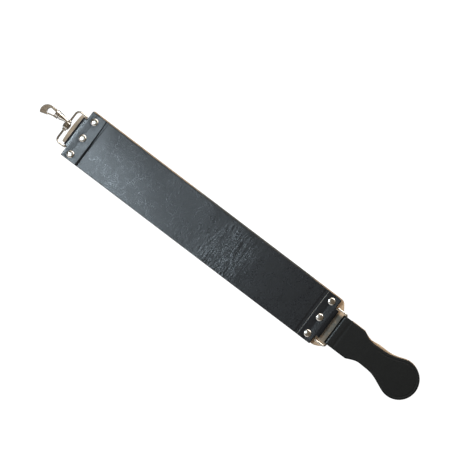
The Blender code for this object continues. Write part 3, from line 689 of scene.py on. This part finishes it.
class STROP_OT_honing_ply(bpy.types.Operator):
    """Models the long black ply with its slow waves and the creases across its middle"""

    bl_idname = "strop.honing_ply"
    bl_label = "Honing Ply"

    def execute(self, context):
        leather = context.scene.strop.leather
        low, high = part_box("front_strap")
        thickness = high.z - low.z
        strap = sheet_grid("honing_strap", low, high, 720, 30)
        choose_all(strap)
        bpy.ops.mesh.normals_make_consistent(inside=False)
        rest_tools()
        points = points_of(strap)
        x, y = points[:, 0], points[:, 1]
        along = (x - low.x) / (high.x - low.x)
        under_tabs = np.minimum(along, 1 - along) * (high.x - low.x)
        free = bump_between(under_tabs, 0.026, 0.040)
        middle = 0.5 * (low.x + high.x) + CREASE_PLACE
        across = (y - low.y) / (high.y - low.y)
        band = self.creased(x - middle, across, CREASE_WIDTH) * bump_between(1 - across, 0.02, 0.45)
        groups = {"free": free, "band": band * free}
        for label, weights in groups.items():
            group = strap.vertex_groups.new(name=label)
            for step in range(1, 33):
                chosen = np.nonzero(np.round(weights * 32) == step)[0].tolist()
                if chosen:
                    group.add(chosen, step / 32, "REPLACE")
        self.displace(strap, "slow_waves", "free", leather.wave, 0.045, (1.0, 1.6, 1.0))
        self.displace(strap, "creases", "band", leather.crease, 0.0020, (1.0, 6.0, 1.0))
        points = points_of(strap)
        hump = HUMP * np.exp(-(((x - middle - 0.006) / 0.014) ** 2)) * (1 - 0.5 * across)
        crown = CROWN * (np.cos(np.pi * (across - 0.5)) - 0.4)
        crown = crown * bump_between(along, 0.045, 0.11) * (1 - bump_between(along, 0.20, 0.46))
        points[:, 2] += hump * free + crown
        points[:, 2] -= TAB_RECESS * (1 - bump_between(under_tabs, TAB_REACH, TAB_REACH + 0.0014))
        points[:, 2] = np.where(under_tabs < TAB_REACH, high.z - TAB_RECESS, points[:, 2])
        move_points(strap, points)
        with_modifier(strap, "SOLIDIFY", thickness=thickness - TAB_RECESS, offset=-1, use_even_offset=False)
        round_edges(strap, leather.edge_round, angle=60)
        points, normals = points_of(strap), normals_of(strap)
        side = np.minimum(points[:, 1] - low.y, high.y - points[:, 1])
        wall = 1 - bump_between(side, 0.0000, leather.edge_round * 1.1)
        store(strap, "cut_edge", np.clip(wall, 0, 1))
        store(strap, "smooth_fold", np.zeros(len(points)))
        across = (points[:, 1] - low.y) / (high.y - low.y)
        band = self.creased(points[:, 0] - middle, across, CREASE_WIDTH + 0.005)
        store(strap, "crease_band", band * bump_between(1.1 - across, 0.0, 0.5))
        finish_piece(strap, finish_named("honing_leather"), "strap", ["front_strap"])
        return {"FINISHED"}

    def creased(self, ahead, across, width):
        """1 on the line in the middle of the creased band, down to 0 away from it."""
        return np.exp(-(((ahead - CREASE_LEAN * (across - 0.4)) / width) ** 2))

    def displace(self, strap, name, group, height, size, stretch):
        texture = bpy.data.textures.new(name, "CLOUDS")
        texture.noise_scale = size
        texture.noise_depth = 2
        guide = bpy.data.objects.new(name, None)
        guide.scale = stretch
        bpy.context.scene.collection.objects.link(guide)
        bpy.context.view_layer.update()
        with_modifier(
            strap, "DISPLACE", texture=texture, texture_coords="OBJECT", texture_coords_object=guide,
            vertex_group=group, strength=height, mid_level=0.5, direction="Z",
        )
        bpy.data.objects.remove(guide, do_unlink=True)


class STROP_OT_rear_ply(bpy.types.Operator):
    """Dresses the tan ply at the back, with rounded edges and counterbores for the rear caps"""

    bl_idname = "strop.rear_ply"
    bl_label = "Rear Ply"

    def execute(self, context):
        leather = context.scene.strop.leather
        low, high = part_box("rear_strap")
        ply = copy_of("rear_strap", "rear_ply")
        choose_all(ply)
        bpy.ops.mesh.dissolve_limited(angle_limit=math.radians(2))
        rest_tools()
        round_edges(ply, leather.edge_round * 0.8, segments=2)
        for axis, slices in ((0, 96), (1, 24)):
            for number in range(1, slices):
                choose_all(ply)
                place, along = Vector(), Vector()
                place[axis] = low[axis] + (high[axis] - low[axis]) * number / slices
                along[axis] = 1
                bpy.ops.mesh.bisect(plane_co=place, plane_no=along)
        rest_tools()
        normals = normals_of(ply)
        wall = np.abs(normals[:, 2]) < 0.8
        store(ply, "cut_edge", wall)
        strap_low, strap_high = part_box("front_strap")
        points = points_of(ply)
        beyond_top = bump_between(strap_low.x - points[:, 0], -0.004, 0.001)
        beyond_bottom = bump_between(points[:, 0] - strap_high.x, 0.001, 0.006)
        inside_ring = bump_between(RING_SHADE_HALF - np.abs(points[:, 1] - RING_SHADE_SHIFT), 0.0, 0.003)
        # Painted shade along the rear ply's +Y edge under the honing ply: where it starts, is full, starts
        # to fade and stops.
        starts, dyed, full_until, stops = EDGE_SHADE_RUN
        edge = bump_between(points[:, 1], high.y - 0.0030, high.y - 0.0022)
        run = bump_between(points[:, 0], starts, dyed) * (1 - bump_between(points[:, 0], full_until, stops))
        edge = edge * run
        # Painted shade: grey where the lower ring's opening shows the ply, partly grey beyond the top end,
        # near black along the +Y edge.
        painted_shade = np.maximum(0.45 * beyond_top, beyond_bottom * inside_ring)
        store(ply, "painted_shade", np.maximum(painted_shade, 2 * edge))
        finish_piece(ply, finish_named("rear_leather"), "strap", ["rear_strap"], angle=30)
        return {"FINISHED"}


class STROP_OT_end_tabs(bpy.types.Operator):
    """Models the two leather tabs, each folded round its ring and pressed down by its rivets"""

    bl_idname = "strop.end_tabs"
    bl_label = "End Tabs"

    def execute(self, context):
        for end in ENDS:
            node = end + "_tab"
            low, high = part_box(node)
            strap_low, strap_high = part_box("front_strap")
            tab = soften(copy_of(node, "leather_tab_" + end), voxel=0.00042, passes=5)
            outward = -1 if end == "top" else 1
            shoulder = strap_low.x if end == "top" else strap_high.x
            points = points_of(tab)
            normals = normals_of(tab)
            middle_z = (low.z + high.z) / 2
            beyond = outward * (points[:, 0] - shoulder)
            upper = points[:, 2] > middle_z
            press = np.zeros(len(points))
            for side in SIDES:
                rivet_low, rivet_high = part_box(f"rivet_front_{end}_{side}")
                centre = (rivet_low + rivet_high) / 2
                away = np.hypot(points[:, 0] - centre.x, points[:, 1] - centre.y)
                press = np.maximum(press, np.exp(-((away / PRESS_RADIUS) ** 4)))
            line = rivet_line(end)
            from_line = outward * (points[:, 0] - line)
            valley = np.where(from_line > 0, from_line / VALLEY_OUT, -from_line / VALLEY_IN)
            valley = (1 - np.clip(np.abs(valley), 0, 1)) ** 1.2
            sink = PRESS_DEPTH * press + VALLEY_DEPTH * valley
            points[:, 2] -= np.where(upper & (normals[:, 2] > 0.3), sink, 0)
            flap_end = high.x if end == "top" else low.x
            from_end = np.abs(points[:, 0] - flap_end)
            if end == "top":
                skive = SKIVE_DEPTH * np.clip(1 - from_end / SKIVE_LENGTH, 0, 1)
                points[:, 2] -= np.where(upper & (beyond < 0), skive, 0)
            move_points(tab, points)
            wall = cut_walls(normals, beyond > 0.0001)
            # The skived end keeps the black grain colour, not the raw edge colour: black like an inked edge,
            # and standing in for the shadow at the flap's end.
            if end == "top":
                wall = wall & (from_end > SKIVE_LENGTH + GAP)
            store(tab, "cut_edge", spread(tab, wall, 1))
            store(tab, "smooth_fold", spread(tab, beyond > -0.001, 5))
            store(tab, "crease_band", np.zeros(len(points)))
            finish_piece(tab, finish_named("tab_leather"), "strap", [node], angle=60)
        return {"FINISHED"}


class STROP_OT_rivets(bpy.types.Operator):
    """Models one domed cap and one rear cap, and sets a copy at each of the six rivets"""

    bl_idname = "strop.rivets"
    bl_label = "Rivets"

    def execute(self, context):
        low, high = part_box("rivet_front_top_middle")
        radius = (high.x - low.x) / 2
        tall = high.z - low.z
        rim = 0.0016
        post = 0.0015
        steps = 7
        dome = [
            (radius * math.cos(a), tall - rim + rim * 0.86 * math.sin(a) + rim * 0.14)
            for a in (math.radians(90 * i / steps) for i in range(1, steps))
        ]
        seat = tall - rim - GAP
        rings = [(post, 0.0), (post, seat), (radius * 0.9, seat)]
        rings += [(radius * 0.985, tall - rim - 0.0002), (radius, tall - rim + 0.0002)] + dome
        rings.append((radius * 0.06, tall))
        cap = turned_piece("rivet_cap", rings, (0, 0, 0), segments=48)
        back_low, back_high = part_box("rivet_back_top_middle")
        flat = 0.0009
        back_radius = (back_high.x - back_low.x) / 2
        back_rings = [
            (back_radius * 0.55, 0.00012), (back_radius * 0.6, 0.00002), (back_radius * 0.92, 0.0),
            (back_radius * 0.985, 0.0001), (back_radius, 0.0003), (back_radius, flat), (0.0005, flat),
            (0.0005, back_high.z - back_low.z),
        ]
        back = turned_piece("rivet_back", back_rings, (0, 0, 0), segments=48)
        for end in ENDS:
            for side in SIDES:
                for master, kind in ((cap, "front"), (back, "back")):
                    node = f"rivet_{kind}_{end}_{side}"
                    node_low, node_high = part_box(node)
                    copy = bpy.data.objects.new(f"nickel_{kind}_{end}_{side}", master.data.copy())
                    bpy.context.scene.collection.objects.link(copy)
                    middle = (node_low + node_high) / 2
                    copy.location = (middle.x, middle.y, node_low.z)
                    settle(copy)
                    finish_piece(copy, finish_named("cap_nickel"), "strap", [node], angle=35)
        for master in (cap, back):
            bpy.data.objects.remove(master, do_unlink=True)
        return {"FINISHED"}


class STROP_OT_rings(bpy.types.Operator):
    """Bends the two wire rings round their tongues"""

    bl_idname = "strop.rings"
    bl_label = "Rings"

    def execute(self, context):
        self.bend("top_ring", "upper_ring", -1, 0.0050)
        self.bend("bottom_ring", "lower_ring", 1, 0.0030)
        return {"FINISHED"}

    def bend(self, node, body, outward, open_corner):
        low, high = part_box(node)
        radius = (high.z - low.z) / 2
        middle = (low + high) / 2
        size = (high.x - low.x - 2 * radius, high.y - low.y - 2 * radius)
        rest_tools()
        bpy.ops.mesh.primitive_plane_add(size=1, location=middle)
        bpy.context.object.scale = (*size, 1)
        ring = named("wire_" + node)
        covered = 2 * radius
        for side, corner in ((outward, open_corner), (-outward, covered)):
            choose(ring, lambda place, normal: side * (place.x - middle.x) > size[0] * 0.49, "corners")
            bpy.ops.mesh.bevel(offset=corner, segments=10, affect="VERTICES")
        choose_all(ring)
        bpy.ops.mesh.delete(type="ONLY_FACE")
        rest_tools()
        hold(ring)
        bpy.ops.object.convert(target="CURVE")
        ring = bpy.context.object
        ring.data.bevel_depth = radius
        ring.data.bevel_resolution = 8
        bpy.ops.object.convert(target="MESH")
        ring = bpy.context.object
        ring.name = "wire_" + node
        choose_all(ring)
        bpy.ops.mesh.remove_doubles(threshold=MERGE)
        bpy.ops.mesh.normals_make_consistent(inside=False)
        finish_piece(ring, finish_named("drawn_nickel"), body, [node], angle=60)


class STROP_OT_swivel(bpy.types.Operator):
    """Models the eye with its bell, and finishes the stem and washer"""

    bl_idname = "strop.swivel"
    bl_label = "Swivel"

    def execute(self, context):
        low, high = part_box("swivel_eye")
        ring_low, ring_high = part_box("top_ring")
        wire = (ring_high.z - ring_low.z) / 2
        bar_x = ring_low.x + wire
        bar_z = (ring_low.z + ring_high.z) / 2
        stem_low, stem_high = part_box("swivel_stem")
        shank_y = (stem_low.y + stem_high.y) / 2
        half = (high.y - low.y) / 2
        outer = (high.z - low.z) / 2
        eye_y = shank_y - 0.0041
        ends = wire + 0.0012
        barrel = [
            (ends * 0.94, -half), (ends, -half * 0.95), (ends + 0.0002, -half * 0.80),
            (ends - 0.0003, -half * 0.69), (outer * 0.80, -half * 0.60), (outer * 0.95, -half * 0.36),
            (outer, -half * 0.12),
        ]
        barrel += [(radius, -place) for radius, place in reversed(barrel)]
        eye = turned_piece("ring_eye", barrel, (bar_x, eye_y, bar_z), "Y")
        mouth = low.x
        length = bar_x - mouth
        lip = 0.0043
        bell = [
            (lip * 0.86, 0.0), (lip * 0.97, 0.0002), (lip, 0.0006), (lip * 0.98, length * 0.10),
            (lip * 0.88, length * 0.20), (lip * 0.74, length * 0.34), (lip * 0.62, length * 0.50),
            (lip * 0.54, length * 0.66), (lip * 0.52, length * 0.80), (lip * 0.52, length - wire - 0.0006),
        ]
        shank = turned_piece("eye_bell", bell, (0, 0, 0))
        shank.rotation_euler = (0, math.radians(90), 0)
        shank.location = (mouth, shank_y, bar_z)
        settle(shank)
        cut_with(eye, shank, "UNION")
        drill = [(wire + GAP, -0.01), (wire + GAP, 0.01)]
        bore = turned_piece("eye_bore", drill, (bar_x, eye_y, bar_z), "Y")
        cut_with(eye, bore)
        round_edges(eye, width=0.00012, segments=2, angle=35)
        finish_piece(eye, finish_named("cast_nickel"), "swivel", ["swivel_eye"], angle=50)
        for node in ("swivel_stem", "swivel_washer"):
            dress_node(node, "drawn_nickel")
        return {"FINISHED"}


class STROP_OT_snap_hook(bpy.types.Operator):
    """Models the cast snap hook, its gate and pin, and finishes the spring"""

    bl_idname = "strop.snap_hook"
    bl_label = "Snap Hook"

    def execute(self, context):
        hook = soften(copy_of("hook_body", "snap_hook"), voxel=0.00014, passes=4)
        finish_piece(hook, finish_named("cast_nickel"), "hook", ["hook_body"], angle=60)
        gate = soften(copy_of("gate", "snap_gate"), voxel=0.00009, passes=3)
        finish_piece(gate, finish_named("cast_nickel"), "hook_gate", ["gate"], angle=60)
        low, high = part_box("gate_pin")
        radius = (high.x - low.x) / 2
        tall = high.z - low.z
        head = radius * 1.5
        rings = [
            (head * 0.5, 0.0), (head * 0.85, 0.00006), (head, 0.0002), (radius, 0.00025),
            (radius, tall - 0.00025), (head, tall - 0.0002), (head * 0.85, tall - 0.00006),
            (head * 0.4, tall),
        ]
        middle = (low + high) / 2
        pin = turned_piece("gate_rivet", rings, (middle.x, middle.y, low.z), segments=24)
        finish_piece(pin, finish_named("drawn_nickel"), "hook", ["gate_pin"], angle=35)
        dress_node("gate_spring", "drawn_spring")
        return {"FINISHED"}


class STROP_OT_handle(bpy.types.Operator):
    """Models the paddle handle's three leaves, with pressed lines inside its edge and over its fold"""

    bl_idname = "strop.handle"
    bl_label = "Handle"

    def execute(self, context):
        low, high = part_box("handle_front")
        front = soften(copy_of("handle_front", "paddle_front"), voxel=0.00050, passes=5)
        points, normals = points_of(front), normals_of(front)
        beyond = points[:, 0] - low.x
        on_top = normals[:, 2] > 0.7
        wall = cut_walls(normals, beyond < 0.006)
        from_edge = self.distance_to(points, points[wall])
        crease = np.exp(-(((from_edge - PADDLE_CREASE) / 0.0008) ** 2)) * bump_between(beyond, 0.050, 0.062)
        swell = bump_between(from_edge, 0.0, 0.006) * bump_between(beyond, 0.03, 0.06)
        inside = bump_between(FOLD_LINE_HALF - np.abs(points[:, 1] - 0.001), 0, 0.003)
        line = np.exp(-(((beyond - FOLD_LINE) / 0.0006) ** 2)) * inside
        worn = 1 - bump_between(from_edge, 0.0, 0.0022)
        rise = 0.00010 * swell - CREASE_DEPTH * crease - LINE_DEPTH * line - 0.00030 * worn
        points[:, 2] += np.where(on_top, rise, 0)
        points[:, 2] = np.minimum(points[:, 2], high.z)
        move_points(front, points)
        store(front, "cut_edge", spread(front, wall, 1))
        store(front, "smooth_fold", spread(front, beyond < 0.0028, 5))
        store(front, "crease_band", np.zeros(len(points)))
        finish = finish_named("paddle_leather")
        finish_piece(front, finish, "handle", ["handle_front"], angle=60)
        for node, name, finish, slot in (
            ("handle_core", "paddle_core", "core_board", "core_leather"),
            ("handle_back", "paddle_back", "rear_leather", "tan_leather"),
        ):
            leaf = soften(copy_of(node, name), voxel=0.00055, passes=3)
            normals = normals_of(leaf)
            store(leaf, "cut_edge", spread(leaf, cut_walls(normals), 1))
            store(leaf, "painted_shade", np.zeros(len(normals)))
            finish_piece(leaf, finish_named(finish), "handle", [node], angle=60)
        return {"FINISHED"}

    def distance_to(self, points, walls):
        """Distance in plan from each point to the nearest point of the cut edge."""
        tree = KDTree(len(walls))
        for number, place in enumerate(walls):
            tree.insert((place[0], place[1], 0.0), number)
        tree.balance()
        return np.array([tree.find((place[0], place[1], 0.0))[2] for place in points])


def rivet_line(end):
    """Where the three rivets of an end stand along X."""
    low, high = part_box(f"rivet_front_{end}_middle")
    return (low.x + high.x) / 2


def dress_node(node, finish):
    """Gives a CAD node that stays as it is its finish."""
    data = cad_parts[node].data
    data.materials.clear()
    data.materials.append(finish_named(finish))


# The studio

SMALL_METAL = ("cast_nickel", "drawn_nickel", "drawn_spring")
KEY_PLACE, KEY_SIZE, KEY_TINT = (-0.408, -0.155, 0.877), (0.22, 0.22), (0.76, 0.90, 1.0)
CARD_PLACE, CARD_SIZE, CARD_TINT = (-0.36, 0.075, 0.95), (0.17, 0.17), (1.0, 0.93, 0.82)
FILL_PLACE, FILL_SIZE, FILL_TINT = (0.02, 0.75, 0.30), (1.0, 0.3), (1.0, 0.95, 0.88)
ROOM = (0.10, 0.083, 0.063, 1)
ROOM_ABOVE = (0.13, 0.104, 0.074, 1)
CREAM_WALL = (0.80, 0.75, 0.67, 1)
WHITE_WALL = (1.1, 1.1, 1.1, 1)
FLOOR_DROP = 0.0002  # the floor's depth under the strop


class STROP_OT_studio(bpy.types.Operator):
    """Sets up the pale floor, the soft lights and the camera over the strop"""

    bl_idname = "strop.studio"
    bl_label = "Studio"

    def execute(self, context):
        studio = context.scene.strop.studio
        rest_tools()
        bpy.ops.mesh.primitive_plane_add(size=12, location=(0, 0, -FLOOR_DROP))
        floor = named("studio_floor")
        material, tree, shader, place = blank_material("floor_paper")
        fleck = noise(tree, place, 0.05, 3.0)
        share = between(tree, fleck, 0.3, 0.7)
        shade = mix_colours(tree, share, scaled(studio.floor, 0.97), colour(studio.floor))
        tree.links.new(shade, shader.inputs["Base Color"])
        seen = tree.nodes.new("ShaderNodeLightPath").outputs["Is Camera Ray"]
        tree.links.new(mix_colours(tree, seen, (0, 0, 0, 1), (1, 1, 1, 1)), shader.inputs["Emission Color"])
        shader.inputs["Emission Strength"].default_value = studio.floor_glow
        shader.inputs["Roughness"].default_value = 0.85
        floor.data.materials.append(material)
        key = self.area("key_light", studio.key_power, KEY_TINT, KEY_PLACE, KEY_SIZE)
        card = self.area("hook_card", studio.card_power, CARD_TINT, CARD_PLACE, CARD_SIZE)
        metal = self.small_metal()
        key.light_linking.receiver_collection = self.linked("shaded_metal", metal, "EXCLUDE")
        card.light_linking.receiver_collection = self.linked("carded_metal", metal, "INCLUDE")
        self.area("fill_light", studio.fill_power, FILL_TINT, FILL_PLACE, FILL_SIZE)
        self.surroundings()
        camera = bpy.data.cameras.new("strop_camera")
        camera.sensor_width = 36
        camera.lens = camera.sensor_width * studio.camera_height / studio.field
        holder = bpy.data.objects.new("strop_camera", camera)
        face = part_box("front_strap")[1].z
        holder.location = (*studio.aim, studio.camera_height + face)
        holder.rotation_euler = (0, 0, studio.turn)
        context.scene.collection.objects.link(holder)
        context.scene.camera = holder
        context.scene.view_settings.view_transform = "Standard"
        return {"FINISHED"}

    def area(self, name, power, tint, place, size):
        """A soft light at place, aimed at the middle of the strop and unseen by the camera."""
        light = bpy.data.lights.new(name, "AREA")
        light.shape = "RECTANGLE"
        light.size, light.size_y = size
        light.energy = power
        light.color = tint
        holder = bpy.data.objects.new(name, light)
        holder.location = place
        holder.rotation_euler = (-Vector(place)).to_track_quat("-Z", "Y").to_euler()
        holder.visible_camera = False
        bpy.context.scene.collection.objects.link(holder)
        return holder

    def small_metal(self):
        """The hook, its swivel and the two rings."""
        meshes = [obj for obj in bpy.context.scene.objects if obj.type == "MESH"]
        return [obj for obj in meshes if any(m and m.name in SMALL_METAL for m in obj.data.materials)]

    def linked(self, name, pieces, state):
        """A collection that says which pieces a light falls on, as small flags and cards in a studio do."""
        collection = bpy.data.collections.new(name)
        for piece in pieces:
            collection.objects.link(piece)
        for member in collection.collection_objects:
            member.light_linking.link_state = state
        return collection

    def surroundings(self):
        """A dim brown room with a cream wall towards +Y and a white one towards -Y."""
        world = bpy.data.worlds.new("studio_room")
        bpy.context.scene.world = world
        world.use_nodes = True
        tree = world.node_tree
        background = tree.nodes["Background"]
        direction = tree.nodes.new("ShaderNodeTexCoord").outputs["Generated"]
        axes = add_node(tree, "ShaderNodeSeparateXYZ", None, Vector=direction).outputs
        shade = mix_colours(tree, between(tree, axes[1], 0.45, 0.80), ROOM, CREAM_WALL)
        shade = mix_colours(tree, between(tree, axes[1], -0.40, -0.70), shade, WHITE_WALL)
        shade = mix_colours(tree, between(tree, axes[2], 0.45, 0.85), shade, ROOM_ABOVE)
        tree.links.new(shade, background.inputs["Color"])
        background.inputs["Strength"].default_value = 1.0


OPERATORS = (
    STROP_OT_honing_ply, STROP_OT_rear_ply, STROP_OT_end_tabs, STROP_OT_rivets, STROP_OT_rings,
    STROP_OT_swivel, STROP_OT_snap_hook, STROP_OT_handle, STROP_OT_studio,
)


class STROP_PT_panel(bpy.types.Panel):
    """Lists the strop's settings and the steps that make it"""

    bl_label = "Razor Strop"
    bl_space_type = "VIEW_3D"
    bl_region_type = "UI"
    bl_category = "Strop"

    def draw(self, context):
        settings = context.scene.strop
        for group in (settings.leather, settings.metal, settings.studio):
            column = self.layout.column()
            for name in group.bl_rna.properties.keys():
                if name not in ("rna_type", "name"):
                    column.prop(group, name)
        for operator in OPERATORS:
            self.layout.operator(operator.bl_idname)


CLASSES = (StropLeather, StropMetal, StropStudio, StropSettings, *OPERATORS, STROP_PT_panel)


def register():
    for cls in CLASSES:
        bpy.utils.register_class(cls)
    bpy.types.Scene.strop = bpy.props.PointerProperty(type=StropSettings)


def unregister():
    del bpy.types.Scene.strop
    for cls in reversed(CLASSES):
        bpy.utils.unregister_class(cls)


def main():
    register()
    for operator in OPERATORS:
        group, action = operator.bl_idname.split(".")
        getattr(getattr(bpy.ops, group), action)()
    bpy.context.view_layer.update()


if __name__ == "__main__":
    main()
